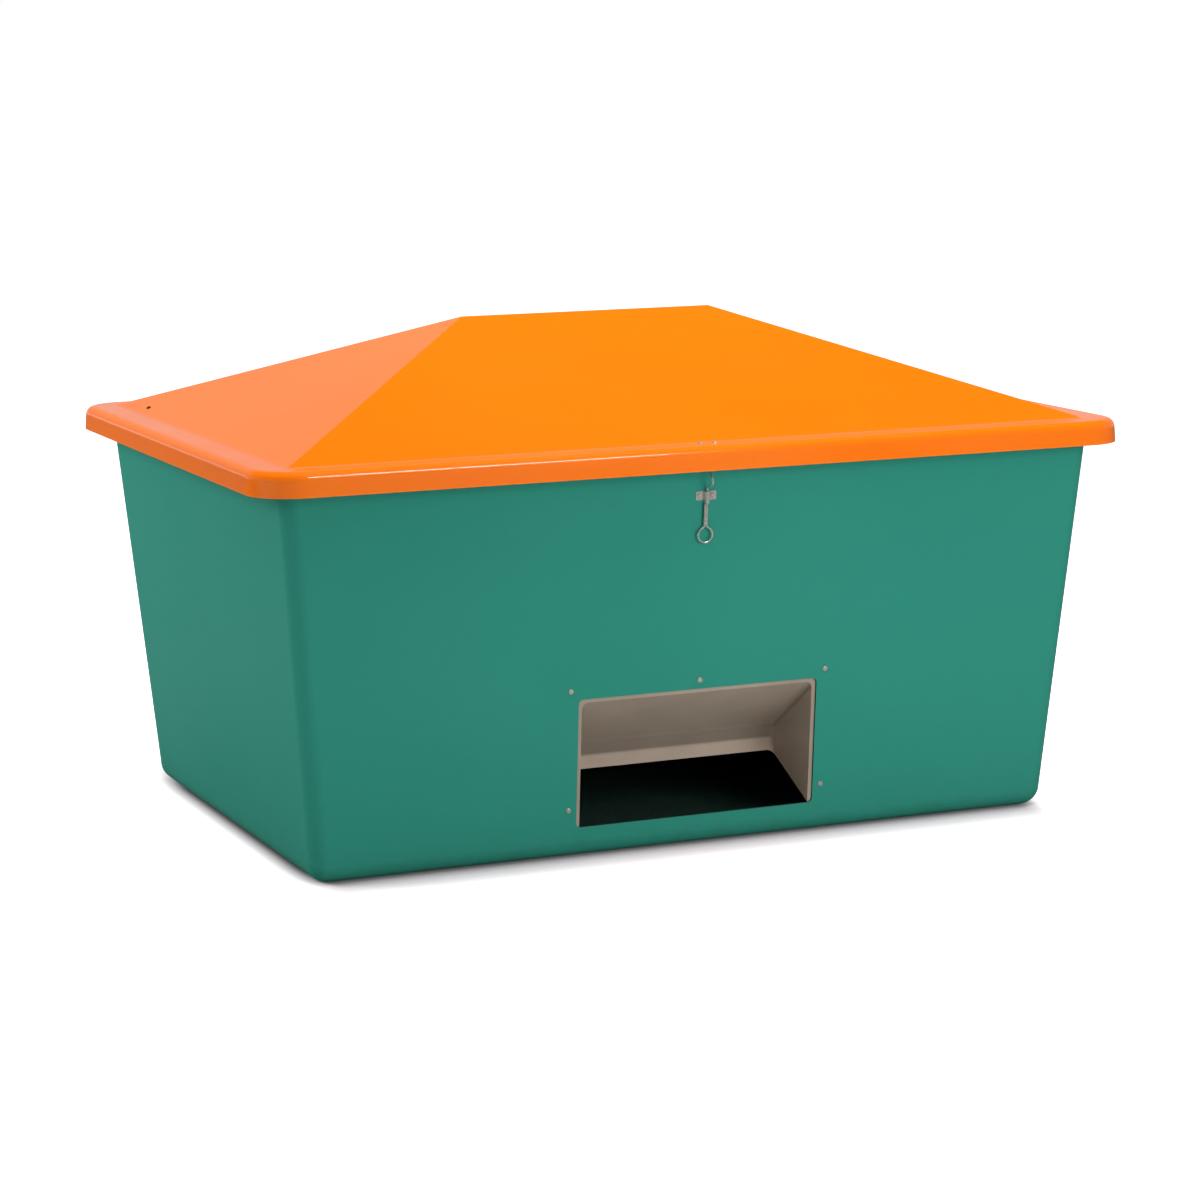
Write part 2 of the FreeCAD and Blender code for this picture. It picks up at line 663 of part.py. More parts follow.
def make_lid():
    body = new_body("lid")
    wedge(body, "rim_block", d.lid_bottom, ledge_level,
          half_lid, rim_half(ledge_level, zero))
    wedge(body, "roof_block", ledge_level, ledge_level + d.roof_rise,
          half_roof, (d.ridge_length / 2, zero))
    fillet(body, "rim_corners", d.lid_corner_radius,
           lambda middle, box: close_to(box.ZMax, ledge_level) and close_to(box.ZMin, d.lid_bottom))
    outer = half_roof[0].value, half_roof[1].value
    fillet(body, "rim_edge", d.lid_rim_radius,
           lambda middle, box: close_to(box.ZMin, ledge_level, 0.01) and box.ZLength < 0.1
           and (abs(middle.x) > outer[0] + 1 or abs(middle.y) > outer[1] + 1))
    fillet(body, "ridge_and_hips", d.ridge_radius,
           lambda middle, box: box.ZLength > d.roof_rise.value / 2
           or box.ZMin > (ledge_level + d.roof_rise).value - 1)
    fillet(body, "roof_foot", d.roof_foot_radius,
           lambda middle, box: close_to(box.ZMin, ledge_level, 0.01) and box.ZLength < 1
           and abs(middle.x) < outer[0] + 1 and abs(middle.y) < outer[1] + 1)
    hollow(body, "lid_hollow", make_lid_core())
    keeper_spots = [(across, keeper_rivet_y) for across in keeper_rivets]
    drill(body, "keeper_rivet_holes", keeper_spots, d.rivet_shank / 2, 3 * d.lid_wall,
          (0, 0, ledge_level + d.lid_wall))
    drill(body, "leaf_rivet_holes", [(along, lid_rivet_up) for along in lid_rivet_spots],
          d.rivet_shank / 2, 3 * d.lid_wall,
          skirt_point(zero, zero, skirt_stand + 2 * d.lid_wall), lid_turn)
    for name, side in sides:
        drill_roof_bolt(body, f"stay_bolt_hole_{name}", side, d.lid_wall, 2 * d.lid_wall)
    return body


# Chute hood

def make_hood():
    body = new_body("chute_hood", front_foot, front_turn)
    wall_face = -d.tub_wall
    throat = d.chute_length / 2 - d.hood_lap
    top = d.chute_sill + d.chute_height - d.hood_top_lap
    crease = (top - d.hood_roof_drop, wall_face - d.hood_roof_depth)
    baffle = (crease[0] - d.hood_baffle_height, wall_face - d.hood_baffle_depth)
    lip = (baffle[0] - d.hood_lip_height, baffle[1] + d.hood_lip_return)
    inside = ((top, wall_face), crease, baffle, lip, (d.chute_sill, wall_face))
    profile = outline_sketch(body, "hood_profile", inside, "YZ_Plane")
    pad(body, profile, 2 * throat, symmetric=True)
    back = baffle[1] - d.cut_margin
    narrowed = throat + (back - wall_face) * tangent(d.hood_draft)
    beyond = throat + d.cut_margin
    for side_name, side in sides:
        slant = outline_sketch(body, f"hood_slant_{side_name}",
                               ((side * throat, wall_face), (side * narrowed, back),
                                (side * beyond, back), (side * beyond, wall_face)), "XZ_Plane")
        pocket(body, slant, top + d.cut_margin)
    throat_block = body.Tip
    open_faces = []
    for number, face in enumerate(throat_block.Shape.Faces, start=1):
        box = face.BoundBox
        at_mouth = close_to(box.ZMin, wall_face, 0.01)
        at_foot = close_to(box.YMin, d.chute_sill, 0.01) and close_to(box.YMax, lip[0], 0.01)
        if at_mouth or at_foot:
            open_faces.append(f"Face{number}")
    shell = body.newObject("PartDesign::Thickness", "hood_shell")
    shell.Base = (throat_block, open_faces)
    shell.Reversed = False
    bind(shell, Value=d.hood_wall)
    doc.recompute()
    bends = [(crease, 0), (baffle, 0)]
    for start, end in zip(inside[:3], inside[1:4]):
        depth = (start[1] + end[1]) / 2
        across = throat + (depth - wall_face) * tangent(d.hood_draft)
        bends.append((((start[0] + end[0]) / 2, depth), across))
    fillet(body, "hood_bends", d.hood_edge_radius,
           lambda middle, box: any(close_to(abs(middle.x), across, 0.01)
                                   and close_to(middle.y, spot[0], 0.01)
                                   and close_to(middle.z, spot[1], 0.01)
                                   for spot, across in bends))
    outer = throat + d.hood_flange_width
    foot = d.chute_sill - d.hood_flange_foot
    flange = outline_sketch(body, "hood_flange",
                            ((-outer, foot), (-throat, foot), (-throat, top), (throat, top),
                             (throat, foot), (outer, foot), (outer, top + d.hood_flange_width),
                             (-outer, top + d.hood_flange_width)),
                            base=(0, 0, wall_face))
    pad(body, flange, d.hood_wall, backwards=True)
    drill(body, "hood_rivet_holes_inside", hood_rivets, d.rivet_shank / 2, 3 * d.hood_wall)
    return body


# Rivets, bolts, washers and nuts

def headed(name, head, head_height, shank, grip, tail=None, tail_height=None):
    """A domed head over z = 0 and its shank below, with a tail if it is a rivet."""
    body = new_body(name)
    form = [(zero, head_height), (head / 2, head_height), (head / 2, zero), (shank / 2, zero),
            (shank / 2, -grip)]
    if tail:
        form += [(tail / 2, -grip), (tail / 2, -(grip + tail_height)),
                 (zero, -(grip + tail_height))]
    else:
        form.append((zero, -grip))
    turned(body, f"{name}_form", form)
    fillet(body, f"{name}_dome", head_height * 0.9,
           lambda middle, box: close_to(box.ZMin, head_height, 0.01) and box.ZLength < 0.01)
    return body


def ring(name, bore, outside, thickness):
    """A washer from z = 0 down."""
    body = new_body(name)
    turned(body, f"{name}_form", ((bore / 2, zero), (outside / 2, zero),
                                  (outside / 2, -thickness), (bore / 2, -thickness)))
    return body


def make_hood_fixings():
    backing = d.tub_wall + d.hood_wall
    rivet = headed("hood_rivet", d.rivet_head, d.rivet_head_height, d.rivet_shank,
                   backing + d.rivet_washer_thickness, d.rivet_tail, d.rivet_tail_height)
    washer = ring("rivet_washer_form", d.rivet_shank, d.rivet_washer, d.rivet_washer_thickness)
    return [copies("chute_hood_rivets", rivet, [front_place(*spot) for spot in hood_rivets]),
            copies("chute_hood_washers", washer,
                   [front_place(along, up, -backing) for along, up in hood_rivets])]


# Hinges

middle_knuckle = d.hinge_width / 6
leaf_bore = d.hinge_pin / 2 + d.running_clearance


def make_body_leaf(name, side):
    body = new_body(f"hinge_body_leaf_{name}")
    along = side * d.hinge_spacing / 2
    under = hinge_z - knuckle_radius
    over = under + d.hinge_sheet
    foot = under - d.body_leaf_height
    sheet_run = d.hinge_sheet / cosine(d.front_lean)
    profile = outline_sketch(body, f"body_leaf_profile_{name}",
                             ((hinge_y, under), (hinge_y, over), (tub_half_width(over), over),
                              (tub_half_width(foot), foot),
                              (tub_half_width(foot) + sheet_run, foot),
                              (tub_half_width(under) + sheet_run, under)),
                             "YZ_Plane", (0, 0, along))
    pad(body, profile, d.hinge_width, symmetric=True)
    fillet(body, f"body_leaf_bend_{name}", d.hinge_sheet,
           lambda middle, box: close_to(middle.z, under, 0.01)
           and close_to(middle.y, tub_half_width(under) + sheet_run, 0.01))
    half = d.hinge_width / 2
    round_bar(body, "Additive", f"body_knuckle_{name}", knuckle_radius, d.hinge_width,
              (along - half, hinge_y, hinge_z), (0, 1, 0), Size(90))
    gap = middle_knuckle + d.knuckle_gap
    reach = knuckle_radius + d.knuckle_gap
    block(body, "Subtractive", f"body_knuckle_gap_{name}",
          (along - gap, hinge_y - reach, hinge_z - reach),
          (along + gap, hinge_y + reach, hinge_z + reach))
    round_bar(body, "Subtractive", f"body_bore_{name}", leaf_bore, 2 * d.hinge_width,
              (along - d.hinge_width, hinge_y, hinge_z), (0, 1, 0), Size(90))
    spots = [(x, -up) for x, up in leaf_bolts if x.value * side > 0]
    x, y, z = wall_point(zero, zero, 2 * d.hinge_sheet)
    drill(body, f"body_leaf_holes_{name}", spots, d.bolt_shank / 2, 4 * d.hinge_sheet,
          (x, -y, z), -front_turn)
    return body


def make_lid_leaf(name, side):
    """Drawn in the hinge's own frame: Y up the lid's rim and Z towards it."""
    body = new_body(f"hinge_lid_leaf_{name}", (side * d.hinge_spacing / 2, hinge_y, hinge_z),
                    lid_turn)
    half = d.hinge_width / 2
    plate = outline_sketch(body, f"lid_leaf_outline_{name}",
                           ((-half, leaf_start), (-middle_knuckle, leaf_start),
                            (-middle_knuckle, zero), (middle_knuckle, zero),
                            (middle_knuckle, leaf_start), (half, leaf_start),
                            (half, d.lid_leaf_height), (-half, d.lid_leaf_height)),
                           base=(0, 0, skirt_stand))
    pad(body, plate, d.hinge_sheet, backwards=True)
    fillet(body, f"lid_leaf_corners_{name}", 2 * d.hinge_sheet,
           lambda middle, box: close_to(middle.y, d.lid_leaf_height, 0.01)
           and close_to(abs(middle.x), half, 0.01))
    round_bar(body, "Additive", f"lid_knuckle_{name}", knuckle_radius,
              2 * middle_knuckle, (-middle_knuckle, 0, 0), (0, 1, 0), Size(90))
    round_bar(body, "Subtractive", f"lid_bore_{name}", leaf_bore, 2 * d.hinge_width,
              (-d.hinge_width, 0, 0), (0, 1, 0), Size(90))
    spots = [(step * d.lid_leaf_rivet_spacing, lid_rivet_up) for step in (-1, 0, 1)]
    drill(body, f"lid_leaf_holes_{name}", spots, d.rivet_shank / 2, 3 * d.hinge_sheet,
          (0, 0, skirt_stand + d.hinge_sheet))
    return body


def make_hinge_pin(name, side):
    body = new_body(f"hinge_pin_{name}")
    along = side * d.hinge_spacing / 2
    reach = d.hinge_width / 2 + d.knuckle_gap
    for part, radius, start, end in (
            ("shank", d.hinge_pin / 2, -reach, reach),
            ("head", d.pin_head / 2, reach, reach + d.pin_head_height),
            ("upset", d.pin_head / 2, -(reach + d.pin_head_height), -reach)):
        round_bar(body, "Additive", f"pin_{part}_{name}", radius, end - start,
                  (along + start, hinge_y, hinge_z), (0, 1, 0), Size(90))
    fillet(body, f"pin_ends_{name}", d.pin_head_height / 2,
           lambda middle, box: box.XLength < 0.01
           and close_to(abs(middle.x - along.value), reach + d.pin_head_height, 0.01))
    return body


def make_nut(name):
    """A cap nut below z = 0, with its thread's bore."""
    body = new_body(name)
    corner = d.nut_width / 2 / cosine(Size(30))
    corners = [(corner * cosine(Size(60 * step)), corner * sine(Size(60 * step)))
               for step in range(6)]
    hexagon = outline_sketch(body, f"{name}_hexagon", corners)
    pad(body, hexagon, d.nut_height, backwards=True)
    turned(body, f"{name}_cap",
           ((zero, -d.nut_height / 2), (d.nut_width / 2, -d.nut_height / 2),
            (d.nut_width / 2 * 0.9, -d.nut_height - d.nut_dome_edge),
            (zero, -d.nut_height - d.nut_dome)))
    round_bar(body, "Subtractive", f"{name}_bore", d.bolt_shank / 2,
              d.nut_height, (0, 0, -d.nut_height))
    return body


def make_hinge_fixings():
    grip = d.hinge_sheet + d.tub_wall + d.bolt_washer_thickness
    bolt = headed("hinge_bolt", d.bolt_head, d.bolt_head_height, d.bolt_shank,
                  grip + d.nut_height - d.bolt_end_gap)
    washer = ring("bolt_washer_form", d.bolt_shank, d.bolt_washer, d.bolt_washer_thickness)
    nut = make_nut("cap_nut")
    outside = [rear_place(-along, up, d.hinge_sheet) for along, up in leaf_bolts]
    inside = [rear_place(-along, up, -d.tub_wall) for along, up in leaf_bolts]
    behind = [rear_place(-along, up, -(d.tub_wall + d.bolt_washer_thickness))
              for along, up in leaf_bolts]
    rivet = headed("leaf_rivet", d.rivet_head, d.rivet_head_height, d.rivet_shank,
                   d.hinge_sheet + d.lid_wall, d.rivet_tail, d.rivet_tail_height)
    rivets = [place_of(skirt_point(along, lid_rivet_up, skirt_stand - d.hinge_sheet),
                       ((1, 0, 0), lid_turn), ((1, 0, 0), 180)) for along in lid_rivet_spots]
    return [copies("hinge_body_bolts", bolt, outside),
            copies("hinge_body_washers", washer, inside),
            copies("hinge_body_nuts", nut, behind),
            copies("hinge_lid_rivets", rivet, rivets)]


# Latch

def make_latch_bracket():
    body = new_body("latch_bracket", front_foot, front_turn)
    low = d.latch_middle - d.latch_plate_height / 2
    plate = outline_sketch(body, "latch_plate",
                           ((-d.latch_plate_length / 2, low), (d.latch_plate_length / 2, low),
                            (d.latch_plate_length / 2, low + d.latch_plate_height),
                            (-d.latch_plate_length / 2, low + d.latch_plate_height)))
    pad(body, plate, d.latch_sheet)
    fillet(body, "latch_plate_corners", d.latch_sheet,
           lambda middle, box: close_to(abs(middle.x), d.latch_plate_length / 2, 0.01)
           and close_to(box.ZLength, d.latch_sheet, 0.01))
    half = d.latch_sleeve_width / 2
    block(body, "Additive", "sleeve_neck", (-half, sleeve_foot, 0),
          (half, sleeve_foot + d.latch_sleeve_height, d.latch_axis_height))
    round_bar(body, "Additive", "sleeve", half, d.latch_sleeve_height,
              (0, sleeve_foot, d.latch_axis_height), angle=Size(-90))
    round_bar(body, "Subtractive", "sleeve_bore",
              d.latch_wire / 2 + d.running_clearance, 2 * d.latch_sleeve_height,
              (0, sleeve_foot - d.latch_sleeve_height / 2, d.latch_axis_height),
              angle=Size(-90))
    drill(body, "latch_plate_holes", latch_rivets, d.latch_rivet_shank / 2, 2 * d.latch_sheet,
          (0, 0, d.latch_sheet))
    return body


def make_latch_rivets():
    rivet = headed("latch_rivet", d.latch_rivet_head, d.latch_rivet_head_height,
                   d.latch_rivet_shank, d.latch_sheet + d.tub_wall, d.rivet_tail,
                   d.rivet_tail_height)
    return copies("latch_bracket_rivets", rivet,
                  [front_place(along, up, d.latch_sheet) for along, up in latch_rivets])


def bent_run(points, radius):
    """Straight edges through the points, joined by arcs of one radius."""
    edges = []
    start = points[0]
    for before, corner, after in zip(points, points[1:], points[2:]):
        to_before = (before - corner).normalize()
        to_after = (after - corner).normalize()
        half = to_before.getAngle(to_after) / 2
        setback = radius / math.tan(half)
        arc_start = corner + to_before * setback
        arc_end = corner + to_after * setback
        centre = corner + (to_before + to_after).normalize() * (radius / math.sin(half))
        arc_middle = centre + (corner - centre).normalize() * radius
        edges.append(Part.LineSegment(start, arc_start).toShape())
        edges.append(Part.Arc(arc_start, arc_middle, arc_end).toShape())
        start = arc_end
    edges.append(Part.LineSegment(start, points[-1]).toShape())
    return edges


def make_latch_hook():
    """One wire: ring, two wires side by side, bow over the sleeve, and nose."""
    axis = d.latch_axis_height.value
    spacing = (d.latch_wire + d.latch_wire_gap).value
    ring_radius = d.latch_ring_radius.value
    shoulder = d.latch_ring_shoulder.value
    ring_x = -spacing / 2
    ring_y = (sleeve_foot - d.latch_ring_drop).value
    reach = spacing / 2 + shoulder
    rise = math.sqrt((ring_radius + shoulder) ** 2 - reach ** 2)
    share = ring_radius / (ring_radius + shoulder)
    ring_foot = Vector(ring_x, ring_y - ring_radius, axis)
    flat = Vector(0, 0, axis)

    def shoulder_points(side):
        centre = Vector(ring_x + side * reach, ring_y + rise, axis)
        on_ring = Vector(ring_x + side * reach * share, ring_y + rise * share, axis)
        on_wire = Vector(ring_x + side * spacing / 2, ring_y + rise, axis)
        toward = (on_ring + on_wire) * 0.5 - centre
        return on_wire, centre + toward.normalize() * shoulder, on_ring

    left_wire, left_middle, left_ring = shoulder_points(-1)
    right_wire, right_middle, right_ring = shoulder_points(1)
    left_side = Vector(ring_x - ring_radius, ring_y, axis)
    right_side = Vector(ring_x + ring_radius, ring_y, axis)
    gap = d.running_clearance.value
    wire_end = Vector(left_wire.x, (sleeve_foot - d.latch_sheet).value - gap, axis)
    edges = [Part.LineSegment(wire_end, left_wire).toShape(),
             Part.Arc(left_wire, left_middle, left_ring).toShape(),
             Part.Arc(left_ring, left_side, ring_foot).toShape(),
             Part.Arc(ring_foot, right_side, right_ring).toShape(),
             Part.Arc(right_ring, right_middle, right_wire).toShape()]
    bend = d.latch_bend.value
    nose_level = d.latch_nose_level.value
    bow_start = (sleeve_foot + d.latch_sleeve_height + d.latch_bow_start).value
    bow_points = [right_wire, flat + Vector(0, bow_start, 0),
                  flat + Vector(0, bow_start + d.latch_bow_rise.value, d.latch_bow_reach.value),
                  flat + Vector(0, bow_start + d.latch_bow_height.value,
                                d.latch_bow_shoulder.value),
                  flat + Vector(0, nose_level - d.latch_neck.value, 0),
                  flat + Vector(0, nose_level, 0),
                  flat + Vector(d.latch_nose.value, nose_level, 0)]
    edges += bent_run(bow_points, bend)
    path = Part.Wire(edges)
    section = Part.Wire(Part.makeCircle(d.latch_wire.value / 2, wire_end, Vector(0, 1, 0)))
    hook = doc.addObject("Part::Feature", "latch_hook")
    hook.Shape = path.makePipeShell([section], True, True)
    bind_placement(hook, "Placement", front_foot, (1, 0, 0), front_turn)
    expected = section.Length / 2 * d.latch_wire.value / 2 * path.Length
    if abs(hook.Shape.Volume / expected - 1) > 0.02:
        raise RuntimeError("the latch wire is not whole")
    return hook


keeper_face = tub_half_width(tub_height) + d.keeper_reach
keeper_tab_back = -keeper_rivet_y - d.rivet_washer * 0.6


def make_keeper():
    body = new_body("lid_catch")
    under = ledge_underside - d.latch_sheet
    foot = ledge_underside - d.keeper_leg_drop
    profile = outline_sketch(body, "catch_profile",
                             ((-keeper_tab_back, under), (-keeper_tab_back, ledge_underside),
                              (-keeper_face, ledge_underside), (-keeper_face, foot),
                              (d.latch_sheet - keeper_face, foot),
                              (d.latch_sheet - keeper_face, under)), "YZ_Plane",
                             (0, 0, -d.keeper_tab_reach))
    pad(body, profile, d.keeper_tab_reach + keeper_leg_end)
    fillet(body, "catch_bend", d.latch_sheet,
           lambda middle, box: close_to(middle.y, -keeper_face, 0.01)
           and close_to(middle.z, ledge_underside, 0.01))
    front = -(keeper_face + d.cut_margin)
    rear = d.latch_sheet + d.cut_margin - keeper_face
    block(body, "Subtractive", "catch_side",
          (-(d.keeper_tab_reach + d.cut_margin), front, foot - d.cut_margin),
          (d.keeper_leg_start, rear, under))
    out = (keeper_face - tub_foot[1] - d.latch_nose_level * sine(d.front_lean)
           ) / cosine(d.front_lean)
    slot_middle = d.latch_nose_level * cosine(d.front_lean) - out * sine(d.front_lean)
    block(body, "Subtractive", "catch_slot",
          (d.keeper_leg_start - d.cut_margin, front, slot_middle - d.keeper_slot / 2),
          (keeper_slot_end, rear, slot_middle + d.keeper_slot / 2))
    spots = [(across, keeper_rivet_y) for across in keeper_rivets]
    drill(body, "catch_holes", spots, d.rivet_shank / 2, 2 * d.latch_sheet,
          (0, 0, ledge_underside + d.latch_sheet / 2))
    return body


def make_keeper_rivets():
    rivet = headed("catch_rivet", d.rivet_head, d.rivet_head_height, d.rivet_shank,
                   d.lid_wall + d.latch_sheet, d.rivet_tail, d.rivet_tail_height)
    return copies("lid_catch_rivets", rivet,
                  [place_of((across, keeper_rivet_y, ledge_level)) for across in keeper_rivets])


# Lid stays: an arm hangs from the lid, and its slot slides over a pin on the tub.
# Both pins lie at one distance from the hinge, so the arm turns by half the lid's angle.

half_opening = d.stay_opening_angle / 2
closed_reach = 2 * d.stay_rise
open_reach = 2 * (d.stay_rise * cosine(half_opening)
                  + (hinge_y - stay_y) * sine(half_opening))
lid_pivot_z = hinge_z + d.stay_rise
guide_pin_z = hinge_z - d.stay_rise


def make_stay_arm(name, side):
    body = new_body(f"stay_arm_{name}")
    half = d.stay_width / 2
    top = lid_pivot_z + d.stay_end
    foot = lid_pivot_z - open_reach - d.stay_slot_play - d.stay_end
    outline = outline_sketch(body, f"arm_outline_{name}",
                             ((stay_y - half, foot), (stay_y + half, foot),
                              (stay_y + half, top), (stay_y - half, top)),
                             "YZ_Plane", (0, 0, side * stay_x))
    pad(body, outline, d.stay_thickness, symmetric=True)
    fillet(body, f"arm_ends_{name}", 0.9 * d.stay_end,
           lambda middle, box: close_to(box.XLength, d.stay_thickness, 0.01))
    radius = d.stay_pin / 2 + d.running_clearance
    start = side * stay_x - d.stay_thickness
    slot_top = lid_pivot_z - closed_reach + d.stay_slot_play
    slot_foot = lid_pivot_z - open_reach - d.stay_slot_play
    for part, level in (("pivot_hole", lid_pivot_z), ("slot_top", slot_top),
                        ("slot_foot", slot_foot)):
        round_bar(body, "Subtractive", f"{part}_{name}", radius, 2 * d.stay_thickness,
                  (start, stay_y, level), (0, 1, 0), Size(90))
    block(body, "Subtractive", f"slot_{name}", (start, stay_y - radius, slot_foot),
          (start + 2 * d.stay_thickness, stay_y + radius, slot_top))
    return body


def bracket(label, side, corners):
    """A bent sheet bracket from its outline seen from the front."""
    body = new_body(label)
    corners = [(side * x, z) for x, z in corners]
    profile = outline_sketch(body, f"{label}_profile", corners, "XZ_Plane",
                             (0, 0, -stay_y))
    pad(body, profile, d.stay_bracket_width, symmetric=True)
    return body


def pin_hole(body, name, side, level):
    round_bar(body, "Subtractive", name, d.stay_pin / 2, 4 * d.stay_bracket_sheet,
              (side * bracket_face - 2 * d.stay_bracket_sheet, stay_y, level),
              (0, 1, 0), Size(90))


def make_stay_lid_bracket(name, side):
    edge = bracket_back + d.stay_lid_flange / roof_stretch
    sheet_rise = d.stay_bracket_sheet * roof_stretch
    foot = lid_pivot_z - d.stay_lid_leg
    body = bracket(f"stay_lid_bracket_{name}", side,
                   ((bracket_face, foot), (bracket_back, foot),
                    (bracket_back, roof_under(bracket_back) - sheet_rise),
                    (edge, roof_under(edge) - sheet_rise), (edge, roof_under(edge)),
                    (bracket_face, roof_under(bracket_face))))
    fillet(body, f"lid_bracket_foot_{name}", 0.9 * d.stay_lid_leg,
           lambda middle, box: close_to(middle.z, foot, 0.01)
           and close_to(box.XLength, d.stay_bracket_sheet, 0.01))
    pin_hole(body, f"lid_bracket_hole_{name}", side, lid_pivot_z)
    drill_roof_bolt(body, f"lid_bracket_bolt_hole_{name}", side, zero,
                    d.lid_wall + 2 * d.stay_bracket_sheet)
    return body


def make_stay_guide_bracket(name, side):
    over = guide_pin_z + d.stay_shelf_rise
    under = over - d.stay_bracket_sheet
    foot = over - d.stay_base_height
    run = d.stay_bracket_sheet / cosine(d.end_lean)
    lip = guide_pin_z - d.stay_lip_drop
    body = bracket(f"stay_guide_bracket_{name}", side,
                   ((bracket_face, lip), (bracket_back, lip), (bracket_back, under),
                    (tub_inside(under)[0] - run, under), (tub_inside(foot)[0] - run, foot),
                    (tub_inside(foot)[0], foot), (tub_inside(over)[0], over),
                    (bracket_face, over)))
    fillet(body, f"guide_bracket_lip_{name}", 0.9 * d.stay_lip_drop,
           lambda middle, box: close_to(middle.z, lip, 0.01)
           and close_to(box.XLength, d.stay_bracket_sheet, 0.01))
    pin_hole(body, f"guide_bracket_hole_{name}", side, guide_pin_z)
    return body


def make_stay_pins():
    grip = d.stay_thickness + 2 * d.stay_side_gap + d.stay_bracket_sheet
    pin = headed("stay_pin_form", d.stay_pin_head, d.stay_pin_head_height, d.stay_pin,
                 grip, d.stay_pin_head * 0.75, d.rivet_tail_height)
    groups = []
    for label, level in (("stay_pivot_pins", lid_pivot_z), ("stay_guide_pins", guide_pin_z)):
        places = [place_of((side * (bracket_back - grip), stay_y, level),
                           ((0, 1, 0), -90 * side)) for _, side in sides]
        groups.append(copies(label, pin, places))
    return groups


def make_stay_bolts():
    depth = d.lid_wall + d.stay_bracket_sheet
    bolt = headed("stay_bolt", d.stay_bolt_head, d.stay_bolt_head_height, d.bolt_shank,
                  depth + d.nut_height - d.bolt_end_gap)
    nut = make_nut("stay_nut")
    return [copies("stay_lid_bolts", bolt, [roof_bolt_place(side, zero) for _, side in sides]),
            copies("stay_lid_nuts", nut, [roof_bolt_place(side, depth) for _, side in sides])]


# Build, test and write every piece

pieces = [make_container(), make_lid(), make_hood(), *make_hood_fixings(),
          make_latch_bracket(), make_latch_rivets(), make_latch_hook(),
          make_keeper(), make_keeper_rivets()]
for name, side in sides:
    pieces += [make_body_leaf(name, side), make_lid_leaf(name, side),
               make_hinge_pin(name, side), make_stay_arm(name, side),
               make_stay_lid_bracket(name, side), make_stay_guide_bracket(name, side)]
pieces += [*make_hinge_fixings(), *make_stay_pins(), *make_stay_bolts()]

doc.recompute()
for item in doc.Objects:
    if "Invalid" in item.State or "Error" in item.State:
        raise RuntimeError(f"{item.Name} failed: {item.State}")
for piece in pieces:
    if piece.Shape.isNull() or not piece.Shape.isValid():
        raise RuntimeError(f"{piece.Label} has no valid shape")

os.makedirs("parts", exist_ok=True)
for piece in pieces:
    piece.Shape.exportStep(f"parts/{piece.Label}.step")
    print(piece.Label, len(piece.Shape.Solids), "solids", round(piece.Shape.Volume / 1000, 1), "cm3")
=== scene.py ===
import json
import math

import bmesh
import bpy
from mathutils import Matrix, Vector

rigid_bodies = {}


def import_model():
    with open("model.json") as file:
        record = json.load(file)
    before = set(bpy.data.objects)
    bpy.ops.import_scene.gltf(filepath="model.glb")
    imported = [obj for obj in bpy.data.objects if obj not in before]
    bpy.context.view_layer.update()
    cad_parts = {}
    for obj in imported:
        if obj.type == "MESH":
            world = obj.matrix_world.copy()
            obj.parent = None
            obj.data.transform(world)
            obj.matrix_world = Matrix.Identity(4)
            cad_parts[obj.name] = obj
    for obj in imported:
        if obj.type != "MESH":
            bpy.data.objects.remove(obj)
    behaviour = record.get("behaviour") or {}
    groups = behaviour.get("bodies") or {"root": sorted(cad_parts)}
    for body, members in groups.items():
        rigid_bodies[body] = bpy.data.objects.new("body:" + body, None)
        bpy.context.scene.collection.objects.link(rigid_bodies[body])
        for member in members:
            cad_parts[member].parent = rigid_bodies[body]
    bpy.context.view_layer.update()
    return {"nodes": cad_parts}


# Roadside grit and salt bin: green tub, orange lid, scoop chute, wire latch, lid stays.
# Metres, Z up and the front towards -Y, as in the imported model.

for leftover in list(bpy.data.objects):
    bpy.data.objects.remove(leftover, do_unlink=True)

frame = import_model()
nodes = frame["nodes"]
print("frame loaded:", len(nodes), "nodes")


# Helpers that build shader trees

def newShader(name):
    mat = bpy.data.materials.new(name)
    mat.use_nodes = True
    tree = mat.node_tree
    tree.nodes.clear()
    out = tree.nodes.new("ShaderNodeOutputMaterial")
    surface = tree.nodes.new("ShaderNodeBsdfPrincipled")
    tree.links.new(surface.outputs["BSDF"], out.inputs["Surface"])
    return mat, tree, surface


def fill(tree, socket, item):
    if isinstance(item, (int, float)):
        socket.default_value = item
    elif isinstance(item, tuple):
        socket.default_value = (*item, 1.0)
    else:
        tree.links.new(item, socket)


def coordinate(tree, output):
    return tree.nodes.new("ShaderNodeTexCoord").outputs[output]


def axesOf(tree, vector):
    split = tree.nodes.new("ShaderNodeSeparateXYZ")
    tree.links.new(vector, split.inputs["Vector"])
    return split.outputs


def placeOnPiece(tree, scale=(1, 1, 1), turn=(0, 0, 0)):
    mapping = tree.nodes.new("ShaderNodeMapping")
    mapping.inputs["Scale"].default_value = scale
    mapping.inputs["Rotation"].default_value = turn
    tree.links.new(coordinate(tree, "Object"), mapping.inputs["Vector"])
    return mapping.outputs["Vector"]


def noise(tree, place, scale, detail, rough, twist=0.0):
    node = tree.nodes.new("ShaderNodeTexNoise")
    node.inputs["Scale"].default_value = scale
    node.inputs["Detail"].default_value = detail
    node.inputs["Roughness"].default_value = rough
    node.inputs["Distortion"].default_value = twist
    tree.links.new(place, node.inputs["Vector"])
    return node.outputs["Fac"]


def cells(tree, place, scale, feature, output="Distance"):
    node = tree.nodes.new("ShaderNodeTexVoronoi")
    node.feature = feature
    node.inputs["Scale"].default_value = scale
    tree.links.new(place, node.inputs["Vector"])
    return node.outputs[output]


